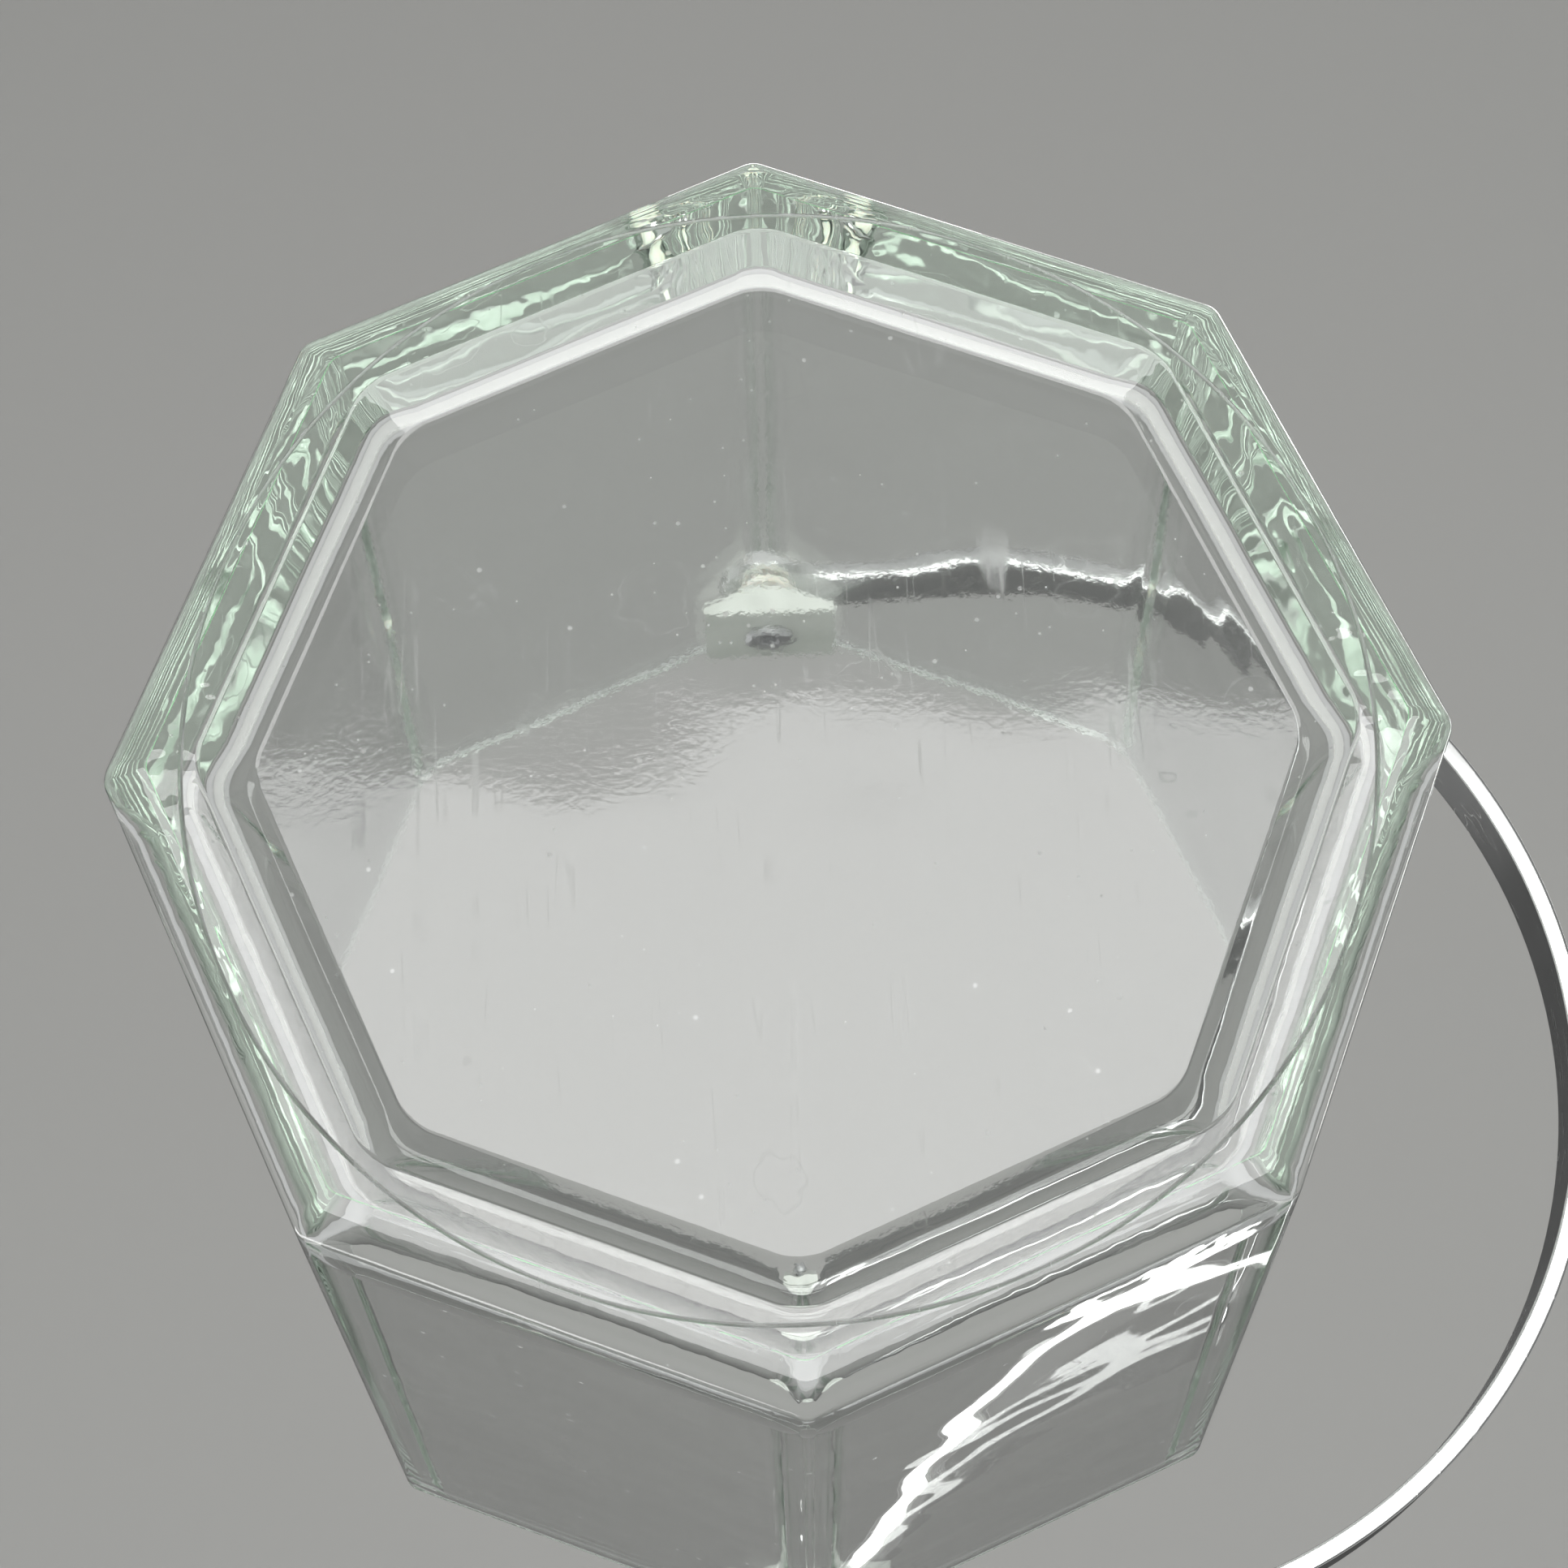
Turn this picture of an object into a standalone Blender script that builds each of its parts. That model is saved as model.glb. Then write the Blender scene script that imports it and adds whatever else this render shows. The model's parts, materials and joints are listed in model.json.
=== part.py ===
"""Octagonal pressed-glass jar with a flat metal bail handle.

The jar stands upright on the ring round its recessed underside. The origin is the centre of the
recess floor, on the jar's axis. The bail turns about an axis along Y, through two opposite corners
just below the rim, and is drawn folded out level with the rim on the +X side.
Lengths are in metres.
"""

import math

import bmesh
import bpy
from mathutils import Vector

# Glass body
SIDES = 8
HALF_SECTOR = math.pi / SIDES
BASE_CIRCUMRADIUS = 0.0700
RIM_CIRCUMRADIUS = 0.0710
HEIGHT = 0.1250
RECESS_DEPTH = 0.0030
FLOOR_THICKNESS = 0.0080
WALL_AT_FLOOR = 0.0052
WALL_AT_RIM = 0.0042
HEEL_RADIUS = 0.0045
FLOOR_FILLET = 0.0060
OUTER_CORNER_RADIUS = 0.0020
HEEL_CORNER_RADIUS = 0.0050
INNER_CORNER_RADIUS = 0.0080
RECESS_MOUTH_CIRCUMRADIUS = 0.0602
RECESS_FLOOR_CIRCUMRADIUS = 0.0545
RECESS_MOUTH_CORNER = 0.0070
RECESS_FLOOR_CORNER = 0.0050
RECESS_EDGE_RADIUS = 0.0009

# Pivots, front at -Y and back at +Y
PIVOT_DROP = 0.0100
PAD_DISTANCE = 0.0685
PAD_DROP = 0.0220
PAD_HALF_WIDTH = 0.0200
PIN_RADIUS = 0.0020
PIN_HEAD_RADIUS = 0.0046
PIN_HEAD_HEIGHT = 0.0020
PIN_TAIL_RADIUS = 0.0032
PIN_TAIL_HEIGHT = 0.0008
PIN_TAIL_BORE = 0.0012
PIN_TAIL_BORE_DEPTH = 0.0040
PIN_TAIL_BORE_TIP = 0.0007
PIN_TAIL_CHAMFER = 0.0004
BUSH_WALL = 0.0009
BUSH_FLANGE_RADIUS = 0.0056
BUSH_FLANGE_THICKNESS = 0.0012
SADDLE_WIDTH = 0.0170
SADDLE_HEIGHT = 0.0150
SADDLE_FACE_DISTANCE = 0.0610

# Bail
STRAP_WIDTH = 0.0095
STRAP_THICKNESS = 0.0024
STRAP_EDGE_RADIUS = 0.0008
BOW_CENTRE_X = 0.0300
BOW_RADIUS = 0.0734
EYE_RADIUS = 0.0076
EYE_LENGTH = 0.0110

# Fit of one piece to the next, and how far a cutter passes through what it cuts
GAP = 0.0003
CUTTER_REACH = 0.0100

# Facets along each curve
CORNER_STEPS = 5
ROUND_STEPS = 28
HEEL_STEPS = 5
RIM_STEPS = 6
FILLET_STEPS = 5
DOME_STEPS = 5
EDGE_STEPS = 3
EYE_STEPS = 8
NECK_STEPS = 3
LEG_STEPS = 6
BOW_STEPS = 40
SHARP_ANGLE = math.radians(35)

# Worked out from the sizes above
RIM_Z = HEIGHT - RECESS_DEPTH
PIVOT_Z = RIM_Z - PIVOT_DROP
STRAP_DISTANCE = PAD_DISTANCE + GAP + BUSH_FLANGE_THICKNESS + GAP + STRAP_THICKNESS / 2
BAIL_REACH = BOW_CENTRE_X + BOW_RADIUS + STRAP_THICKNESS / 2
REST_TILT = math.asin((PIVOT_DROP - STRAP_WIDTH / 2) / BAIL_REACH)
APOTHEM_RATIO = math.cos(HALF_SECTOR)
EYE_BLEND_START = EYE_RADIUS / 2


def clear_scene():
    """Empties the scene that the script runs in."""
    for old in list(bpy.data.objects):
        bpy.data.objects.remove(old, do_unlink=True)


def make_material(name, colour, roughness, metallic=0.0, transmission=0.0):
    """A Principled material with one colour."""
    material = bpy.data.materials.new(name)
    material.use_nodes = True
    shader = material.node_tree.nodes["Principled BSDF"]
    shader.inputs["Base Color"].default_value = (*colour, 1.0)
    shader.inputs["Roughness"].default_value = roughness
    shader.inputs["Metallic"].default_value = metallic
    shader.inputs["Transmission Weight"].default_value = transmission
    material.diffuse_color = (*colour, 1.0)
    return material


def arc(centre, radius, start, end, steps):
    """Points (across, up) along an arc, with angles in degrees from the first axis."""
    points = []
    for step in range(steps + 1):
        angle = math.radians(start + (end - start) * step / steps)
        points.append((centre[0] + radius * math.cos(angle), centre[1] + radius * math.sin(angle)))
    return points


def octagon(apothem, corner_radius, z):
    """A level octagon with rounded corners, with one corner on each of the X and Y axes."""
    ring = []
    corner_distance = (apothem - corner_radius) / APOTHEM_RATIO
    for side in range(SIDES):
        heading = 2 * HALF_SECTOR * side
        centre = Vector((math.cos(heading), math.sin(heading), 0.0)) * corner_distance
        for step in range(CORNER_STEPS + 1):
            angle = heading + HALF_SECTOR * (2 * step / CORNER_STEPS - 1)
            offset = Vector((math.cos(angle), math.sin(angle), 0.0)) * corner_radius
            ring.append(centre + offset + Vector((0.0, 0.0, z)))
    return ring


def circle_about_y(radius, y):
    """A circle round the Y axis."""
    ring = []
    for step in range(ROUND_STEPS):
        angle = 2 * math.pi * step / ROUND_STEPS
        ring.append(Vector((radius * math.cos(angle), y, radius * math.sin(angle))))
    return ring


def eased(share):
    """A share from 0 to 1 with a level start and end."""
    return share * share * (3 - 2 * share)


def loft(name, rings, material=None, joined_ends=False):
    """A closed solid skinned over rings of equal length, capped or joined into a loop."""
    mesh = bpy.data.meshes.new(name)
    body = bmesh.new()
    rows = [[body.verts.new(point) for point in ring] for ring in rings]
    pairs = list(zip(rows, rows[1:]))
    if joined_ends:
        pairs.append((rows[-1], rows[0]))
    else:
        body.faces.new(rows[0])
        body.faces.new(rows[-1])
    for lower, upper in pairs:
        for index in range(len(lower)):
            after = (index + 1) % len(lower)
            body.faces.new((lower[index], lower[after], upper[after], upper[index]))
    bmesh.ops.recalc_face_normals(body, faces=body.faces)
    body.to_mesh(mesh)
    body.free()
    mesh.shade_smooth()
    mesh.set_sharp_from_angle(angle=SHARP_ANGLE)
    if material:
        mesh.materials.append(material)
    part = bpy.data.objects.new(name, mesh)
    bpy.context.collection.objects.link(part)
    return part


def cut(part, cutter):
    """Subtracts a cutter, which is itself left out of the model, from a part."""
    cutter.hide_render = True
    cutter.display_type = "WIRE"
    modifier = part.modifiers.new("cut_" + cutter.name, "BOOLEAN")
    modifier.operation = "DIFFERENCE"
    modifier.solver = "EXACT"
    modifier.object = cutter


def cut_bore(part, radius, start_y, end_y):
    """Cuts a round hole along the hinge axis."""
    bore = loft(part.name + "_bore", [circle_about_y(radius, y) for y in (start_y, end_y)])
    bore.location.z = PIVOT_Z
    cut(part, bore)


def inner_apothem(z):
    """Half the distance across the cavity's flats at a height."""
    low = BASE_CIRCUMRADIUS * APOTHEM_RATIO - WALL_AT_FLOOR
    high = RIM_CIRCUMRADIUS * APOTHEM_RATIO - WALL_AT_RIM
    return low + (high - low) * (z - FLOOR_THICKNESS) / (RIM_Z - FLOOR_THICKNESS)


def inner_corner_distance(z):
    """How far the cavity's rounded corners are from the axis at a height."""
    return (inner_apothem(z) - INNER_CORNER_RADIUS) / APOTHEM_RATIO + INNER_CORNER_RADIUS


def recess_rings():
    """The octagons of the recess in the underside, from its floor out to its mouth."""
    floor = RECESS_FLOOR_CIRCUMRADIUS * APOTHEM_RATIO
    mouth = RECESS_MOUTH_CIRCUMRADIUS * APOTHEM_RATIO
    half_edge = RECESS_EDGE_RADIUS / 2
    return [
        octagon(floor - RECESS_EDGE_RADIUS, RECESS_FLOOR_CORNER, 0.0),
        octagon(floor + half_edge, RECESS_FLOOR_CORNER, -half_edge),
        octagon(mouth - half_edge, RECESS_MOUTH_CORNER, half_edge - RECESS_DEPTH),
        octagon(mouth + RECESS_EDGE_RADIUS, RECESS_MOUTH_CORNER, -RECESS_DEPTH),
    ]


def jar_rings():
    """The glass body's octagons, from the recess floor, over the heel and rim, to the cavity floor."""
    base_apothem = BASE_CIRCUMRADIUS * APOTHEM_RATIO
    rim_apothem = RIM_CIRCUMRADIUS * APOTHEM_RATIO
    rings = recess_rings()
    heel_centre = (base_apothem - HEEL_RADIUS, HEEL_RADIUS - RECESS_DEPTH)
    for index, (apothem, z) in enumerate(arc(heel_centre, HEEL_RADIUS, -90, 0, HEEL_STEPS)):
        share = index / HEEL_STEPS
        corner = HEEL_CORNER_RADIUS + (OUTER_CORNER_RADIUS - HEEL_CORNER_RADIUS) * share
        rings.append(octagon(apothem, corner, z))
    rim_radius = WALL_AT_RIM / 2
    rim_centre = (rim_apothem - rim_radius, RIM_Z - rim_radius)
    for index, (apothem, z) in enumerate(arc(rim_centre, rim_radius, 0, 180, RIM_STEPS)):
        share = index / RIM_STEPS
        corner = OUTER_CORNER_RADIUS + (INNER_CORNER_RADIUS - OUTER_CORNER_RADIUS) * share
        rings.append(octagon(apothem, corner, z))
    fillet_z = FLOOR_THICKNESS + FLOOR_FILLET
    fillet_centre = (inner_apothem(fillet_z) - FLOOR_FILLET, fillet_z)
    for apothem, z in arc(fillet_centre, FLOOR_FILLET, 0, -90, FILLET_STEPS):
        rings.append(octagon(apothem, INNER_CORNER_RADIUS, z))
    return rings


def make_pad_cutter(name, side):
    """A wedge that flattens one corner below the rim, where the handle's eye turns."""
    low = RIM_Z - PAD_DROP
    high = RIM_Z + CUTTER_REACH
    outline = [
        (PAD_DISTANCE, low),
        (PAD_DISTANCE, high),
        (PAD_DISTANCE + CUTTER_REACH, high),
        (PAD_DISTANCE + CUTTER_REACH, low - CUTTER_REACH),
    ]
    ends = (-PAD_HALF_WIDTH, PAD_HALF_WIDTH)
    return loft(name, [[Vector((x, side * y, z)) for y, z in outline] for x in ends])


def make_jar(material):
    """The glass body, with flattened corners and through holes for the pivots."""
    jar = loft("glass_jar", jar_rings(), material)
    for name, side in (("pad_cutter_front", -1), ("pad_cutter_back", 1)):
        cut(jar, make_pad_cutter(name, side))
    reach = RIM_CIRCUMRADIUS + CUTTER_REACH
    cut_bore(jar, PIN_RADIUS + GAP + BUSH_WALL + GAP, -reach, reach)


def make_bush(name, side, material):
    """A flanged plastic sleeve that lines a hole in the glass and spaces the handle off it."""
    bore = PIN_RADIUS + GAP
    sleeve = bore + BUSH_WALL
    inner_end = inner_corner_distance(PIVOT_Z)
    flange_near = PAD_DISTANCE + GAP
    flange_far = flange_near + BUSH_FLANGE_THICKNESS
    profile = [
        (bore, inner_end),
        (sleeve, inner_end),
        (sleeve, flange_near),
        (BUSH_FLANGE_RADIUS, flange_near),
        (BUSH_FLANGE_RADIUS, flange_far),
        (bore, flange_far),
    ]
    rings = [circle_about_y(radius, side * y) for radius, y in profile]
    bush = loft(name, rings, material, joined_ends=True)
    bush.location.z = PIVOT_Z


def make_saddle(name, side, material):
    """A plastic block that fills the cavity's corner behind a pivot and takes the pin's tail."""
    half = SADDLE_WIDTH / 2
    first = (SIDES // 4) * (CORNER_STEPS + 1)
    rings = []
    for z in (PIVOT_Z - SADDLE_HEIGHT / 2, PIVOT_Z + SADDLE_HEIGHT / 2):
        apothem = inner_apothem(z) - GAP
        corner = octagon(apothem, INNER_CORNER_RADIUS, z)[first:first + CORNER_STEPS + 1]
        edge_y = (apothem - half * math.sin(HALF_SECTOR)) / APOTHEM_RATIO
        outline = [(half, SADDLE_FACE_DISTANCE), (half, edge_y)]
        outline += [(point.x, point.y) for point in corner]
        outline += [(-half, edge_y), (-half, SADDLE_FACE_DISTANCE)]
        rings.append([Vector((x, side * y, z)) for x, y in outline])
    saddle = loft(name, rings, material)
    near = SADDLE_FACE_DISTANCE - CUTTER_REACH
    far = PAD_DISTANCE + CUTTER_REACH
    cut_bore(saddle, PIN_RADIUS + GAP, side * near, side * far)


def make_pin(name, side, material):
    """A rivet with a low domed head outside and a hollow, flared tail inside."""
    under_head = STRAP_DISTANCE + STRAP_THICKNESS / 2 + GAP
    tail_near = SADDLE_FACE_DISTANCE - GAP
    tail_far = tail_near - PIN_TAIL_HEIGHT
    bore_end = tail_far + PIN_TAIL_BORE_DEPTH
    profile = [
        (PIN_TAIL_BORE - PIN_TAIL_BORE_TIP, bore_end),
        (PIN_TAIL_BORE, bore_end - PIN_TAIL_BORE_TIP),
        (PIN_TAIL_BORE, tail_far),
        (PIN_TAIL_RADIUS - PIN_TAIL_CHAMFER, tail_far),
        (PIN_TAIL_RADIUS, tail_far + PIN_TAIL_CHAMFER),
        (PIN_TAIL_RADIUS, tail_near),
        (PIN_RADIUS, tail_near),
        (PIN_RADIUS, under_head),
    ]
    for step in range(DOME_STEPS):
        angle = math.radians(90) * step / DOME_STEPS
        radius = PIN_HEAD_RADIUS * math.cos(angle)
        profile.append((radius, under_head + PIN_HEAD_HEIGHT * math.sin(angle)))
    pin = loft(name, [circle_about_y(radius, side * y) for radius, y in profile], material)
    pin.location.z = PIVOT_Z


def half_width(x):
    """Half the strap's width at a distance along the leg, wider round the eye."""
    if x >= EYE_LENGTH:
        return STRAP_WIDTH / 2
    if x <= EYE_BLEND_START:
        return math.sqrt(EYE_RADIUS ** 2 - x ** 2)
    share = (x - EYE_BLEND_START) / (EYE_LENGTH - EYE_BLEND_START)
    widest = math.sqrt(EYE_RADIUS ** 2 - EYE_BLEND_START ** 2)
    return widest + (STRAP_WIDTH / 2 - widest) * eased(share)


def leg_points():
    """The strap's centreline (x, y) from the eye's end along one leg, up to the bow."""
    eye_start = math.radians(173)
    eye_end = math.acos(EYE_BLEND_START / EYE_RADIUS)
    points = []
    for step in range(EYE_STEPS + 1):
        angle = eye_start + (eye_end - eye_start) * step / EYE_STEPS
        points.append((EYE_RADIUS * math.cos(angle), STRAP_DISTANCE))
    for step in range(1, NECK_STEPS + 1):
        x = EYE_BLEND_START + (EYE_LENGTH - EYE_BLEND_START) * step / NECK_STEPS
        points.append((x, STRAP_DISTANCE))
    for step in range(1, LEG_STEPS + 1):
        share = step / LEG_STEPS
        x = EYE_LENGTH + (BOW_CENTRE_X - EYE_LENGTH) * share
        points.append((x, STRAP_DISTANCE + (BOW_RADIUS - STRAP_DISTANCE) * eased(share)))
    return points


def bow_points():
    """The strap's centreline round the bow, between the two legs."""
    points = []
    for step in range(1, BOW_STEPS):
        angle = math.radians(90 - 180 * step / BOW_STEPS)
        across = BOW_RADIUS * math.cos(angle)
        points.append((BOW_CENTRE_X + across, BOW_RADIUS * math.sin(angle)))
    return points


def strap_section(point, normal, half):
    """The strap's cross-section with rounded edges, standing upright on its centreline."""
    edge = min(STRAP_EDGE_RADIUS, half / 2)
    ring = []
    for across, up, start in ((1, 1, 0), (-1, 1, 90), (-1, -1, 180), (1, -1, 270)):
        centre = (across * (STRAP_THICKNESS / 2 - edge), up * (half - edge))
        for out, z in arc(centre, edge, start, start + 90, EDGE_STEPS):
            ring.append(Vector((point[0] + normal[0] * out, point[1] + normal[1] * out, z)))
    return ring


def make_strap(material):
    """The bail: a flat strap bent into a bow, with a round eye at each end."""
    leg = leg_points()
    bow = bow_points()
    path = leg + bow + [(x, -y) for x, y in reversed(leg)]
    rings = []
    for index, point in enumerate(path):
        before = path[max(index - 1, 0)]
        after = path[min(index + 1, len(path) - 1)]
        along = Vector((after[0] - before[0], after[1] - before[1])).normalized()
        in_bow = len(leg) <= index < len(leg) + len(bow)
        half = STRAP_WIDTH / 2 if in_bow else half_width(point[0])
        rings.append(strap_section(point, (-along.y, along.x), half))
    strap = loft("bail_strap", rings, material)
    strap.location.z = PIVOT_Z
    strap.rotation_euler.y = -REST_TILT
    reach = BOW_RADIUS + CUTTER_REACH
    cut_bore(strap, PIN_RADIUS + GAP, -reach, reach)


def main():
    """Builds the jar, the bail and the two pivots."""
    clear_scene()
    glass = make_material("clear_glass", (0.86, 0.93, 0.89), 0.03, transmission=1.0)
    steel = make_material("polished_steel", (0.78, 0.79, 0.79), 0.16, metallic=1.0)
    rivet = make_material("rivet_steel", (0.70, 0.71, 0.72), 0.25, metallic=1.0)
    nylon = make_material("natural_nylon", (0.80, 0.81, 0.76), 0.45)
    saddle_plastic = make_material("saddle_plastic", (0.74, 0.76, 0.72), 0.40)
    make_jar(glass)
    make_strap(steel)
    for place, side in (("front", -1), ("back", 1)):
        make_bush("pin_bush_" + place, side, nylon)
        make_saddle("corner_saddle_" + place, side, saddle_plastic)
        make_pin("pivot_pin_" + place, side, rivet)


main()
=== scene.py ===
"""Looks of an octagonal pressed-glass jar with a flat polished bail handle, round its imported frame.

The jar stands upright at the origin and the handle lies folded out level with the rim, towards +X.
Front is -Y and back is +Y. Lengths are in metres.
"""

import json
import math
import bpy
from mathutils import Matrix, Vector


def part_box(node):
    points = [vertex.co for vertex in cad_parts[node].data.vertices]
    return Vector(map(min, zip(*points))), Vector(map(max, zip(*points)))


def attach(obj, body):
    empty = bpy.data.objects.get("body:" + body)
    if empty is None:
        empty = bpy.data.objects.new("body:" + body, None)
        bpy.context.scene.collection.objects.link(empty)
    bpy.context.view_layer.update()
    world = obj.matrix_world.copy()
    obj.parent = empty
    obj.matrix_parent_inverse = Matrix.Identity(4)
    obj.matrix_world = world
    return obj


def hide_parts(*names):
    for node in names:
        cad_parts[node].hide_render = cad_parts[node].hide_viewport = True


bl_info = {
    "name": "Octagonal Glass Jar",
    "version": (1, 0, 0),
    "blender": (4, 5, 0),
    "location": "View3D > Sidebar > Glass Jar",
    "description": "Models a pressed-glass jar with a bail handle round its packed frame",
    "category": "Add Mesh",
}

import bmesh
import bpy
from mathutils import Vector

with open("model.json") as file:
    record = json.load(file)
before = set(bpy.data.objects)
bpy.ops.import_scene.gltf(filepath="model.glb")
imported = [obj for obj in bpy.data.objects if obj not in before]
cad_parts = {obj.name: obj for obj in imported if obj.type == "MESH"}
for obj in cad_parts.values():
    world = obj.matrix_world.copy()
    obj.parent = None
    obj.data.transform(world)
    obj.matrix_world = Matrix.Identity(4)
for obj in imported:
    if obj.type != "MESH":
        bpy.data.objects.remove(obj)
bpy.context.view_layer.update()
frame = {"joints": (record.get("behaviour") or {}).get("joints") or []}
JAR_LOW, JAR_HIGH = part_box("glass_jar")
STRAP_LOW, STRAP_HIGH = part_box("bail_strap")
BUSH_LOW, BUSH_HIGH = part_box("pin_bush_back")
PIN_LOW, PIN_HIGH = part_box("pivot_pin_back")
SADDLE_LOW, SADDLE_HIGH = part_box("corner_saddle_back")
HINGE = Vector(frame["joints"][0]["pos_m"])

# The octagon has a corner on each of the X and Y axes.
SIDES = 8
HALF_SECTOR = math.pi / SIDES
APOTHEM_RATIO = math.cos(HALF_SECTOR)
BOX_TOLERANCE = 0.0004
MERGE_DISTANCE = 2e-6
SAME_PLACE = 1e-5

# A flat run past each rounding, which the bridges across the ring and the rim start from.
RING_RUN = 0.0002
RIM_RUN = 0.0001
# Steps of the roundings, and (share of the eye's length, width over the strap's) along its neck.
WALL_STEPS = 10
RECESS_STEPS = 6
NECK_STATIONS = ((0.71, 1.03), (0.85, 1.006), (1.0, 1.0))
LEG_STEPS = 16
BOW_STEPS = 48

# Where the glass's finish changes, and where the mould seam is painted dark as painted shade: none at
# the first distance and full at the second.
RECESS_LEVEL = (0.0012, 0.0004)
RECESS_REACH = (0.060, 0.056)
HEEL_LEVEL = (0.010, 0.002)
HEEL_REACH = (0.052, 0.058)
UNDERSIDE_LEVEL = (0.0006, 0.0002)
SEAM_REACH = (0.00032, 0.00012)
GREEN_DENSITY = 4.2
GLASS_IOR = 1.52

# Name, place, aim, size, watts, and whether it shows through glass.
SOFTBOXES = (
    ("lower_softbox", (0.0, 0.10, -1.0), (0.0, 0.10, 0.0), (1.3, 1.02), 22.0, True),
    ("upper_softbox", (0.35, -0.45, 0.9), (0.35, -0.45, 0.0), (0.8, 0.8), 9.0, False),
    ("side_softbox", (-0.7, 0.5, 0.95), (-0.7, 0.5, 0.0), (0.5, 0.9), 5.0, False),
)
# Brightness of the surroundings, from straight below (0) past the horizon (0.5) to straight above.
SURROUNDINGS = (
    (0.00, 0.45),
    (0.15, 0.40),
    (0.25, 0.10),
    (0.40, 0.12),
    (0.49, 0.42),
    (0.60, 0.56),
    (0.80, 0.50),
    (1.00, 0.56),
)
CAMERA_LENS = 88.577
CAMERA_PLACE = (-0.00225, 0.15021, -0.36894)
CAMERA_TURN = (-158.3617, -0.5228, 2.3599)
BOUNCES = 32


def length(name, description, default):
    """A property that holds a length in metres."""
    return bpy.props.FloatProperty(
        name=name, description=description, default=default, unit="LENGTH", precision=4
    )


def colour(name, description, default):
    """A property that holds a colour."""
    return bpy.props.FloatVectorProperty(
        name=name, description=description, default=default, subtype="COLOR", min=0.0, max=1.0
    )


class JarSizes(bpy.types.PropertyGroup):
    """Sizes of the glass body."""

    base_across: length("Base corner radius", "Axis to an underside corner", 0.0700)
    rim_across: length("Rim corner radius", "Axis to a rim corner", 0.0710)
    outer_corner: length("Outer corner rounding", "Radius of the upright outer edges", 0.0020)
    inner_corner: length("Inner corner rounding", "Radius of the cavity's upright corners", 0.0080)
    heel: length("Heel rounding", "Radius between the wall and the standing ring", 0.0045)
    rim_edge: length("Rim rounding", "Radius of the rim's two edges", 0.0017)
    wall_at_floor: length("Wall at the floor", "Wall thickness at the cavity floor", 0.0052)
    wall_at_rim: length("Wall at the rim", "Wall thickness at the rim", 0.0042)
    floor_thickness: length("Floor thickness", "Recess floor to cavity floor", 0.0080)
    floor_fillet: length("Floor fillet", "Radius between the cavity's floor and walls", 0.0060)
    recess_mouth: length("Recess mouth", "Axis to a corner of the recess mouth", 0.0602)
    recess_floor: length("Recess floor", "Axis to a corner of the recess floor", 0.0545)
    recess_corner: length("Recess corner rounding", "Radius of the recess corners", 0.0060)
    recess_edge: length("Recess edge rounding", "Radius of the recess's two edges", 0.0011)
    seam_radius: length("Seam radius", "Radius of the mould seam on the underside", 0.0613)
    seam_depth: length("Seam depth", "Depth of the mould seam", 0.0003)
    pad_distance: length("Pad distance", "Axis to the flats behind the handle's eyes", 0.0685)
    pad_drop: length("Pad drop", "Rim to the lower edge of those flats", 0.0220)


class BailSizes(bpy.types.PropertyGroup):
    """Sizes of the handle."""

    width: length("Strap width", "Width of the flat strap", 0.0095)
    thickness: length("Strap thickness", "Thickness of the strap", 0.0024)
    edge: length("Strap edge rounding", "Radius of the strap's long edges", 0.0005)
    bow_centre: length("Bow centre", "Hinge axis to the bow's centre", 0.0300)
    bow_radius: length("Bow radius", "Radius of the bow at the strap's middle", 0.0734)
    eye_radius: length("Eye radius", "Radius of the round ends", 0.0076)
    eye_length: length("Eye length", "Hinge axis to where the strap has its plain width", 0.0110)


class PivotSizes(bpy.types.PropertyGroup):
    """Sizes of the rivets, bushes and corner saddles."""

    pin_radius: length("Rivet radius", "Radius of the rivet's shank", 0.0020)
    head_height: length("Rivet head height", "Height of the domed head", 0.0020)
    tail_radius: length("Rivet tail radius", "Radius of the flared tail", 0.0032)
    tail_bore: length("Rivet tail bore", "Radius of the hollow in the tail", 0.0012)
    bush_wall: length("Bush wall", "Wall thickness of the bush", 0.0009)
    bush_flange: length("Bush flange", "Thickness of the bush's flange", 0.0012)
    saddle_edge: length("Saddle edge rounding", "Radius of the saddle's edges", 0.0006)
    gap: length("Gap", "Clearance between one piece and the next", 0.0003)


class JarColours(bpy.types.PropertyGroup):
    """Colours of the finishes and the stage."""

    glass: colour("Glass", "Tint at the glass's surface", (0.985, 0.995, 0.990))
    glass_depth: colour("Glass depth", "Tint that thick glass takes on", (0.60, 0.79, 0.63))
    steel: colour("Handle steel", "Colour of the polished strap", (0.78, 0.79, 0.78))
    rivet: colour("Rivet steel", "Colour of the rivets", (0.66, 0.67, 0.68))
    nylon: colour("Bush nylon", "Colour of the bushes", (0.60, 0.61, 0.55))
    saddle: colour("Saddle plastic", "Colour of the corner saddles", (0.34, 0.36, 0.33))
    floor: colour("Floor", "Colour of the floor", (0.54, 0.54, 0.53))
    board: colour("Board", "Colour of the board overhead", (0.38, 0.38, 0.37))
    flag: colour("Flag", "Colour of the dark card that only reflections show", (0.03, 0.03, 0.03))


# Modelling helpers


def deselect_all():
    """Leaves object mode with nothing selected."""
    if bpy.context.object and bpy.context.object.mode != "OBJECT":
        bpy.ops.object.mode_set(mode="OBJECT")
    bpy.ops.object.select_all(action="DESELECT")


def choose(*pieces):
    """Selects these objects only, with the first one active."""
    deselect_all()
    for piece in pieces:
        piece.select_set(True)
    bpy.context.view_layer.objects.active = pieces[0]


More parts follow.
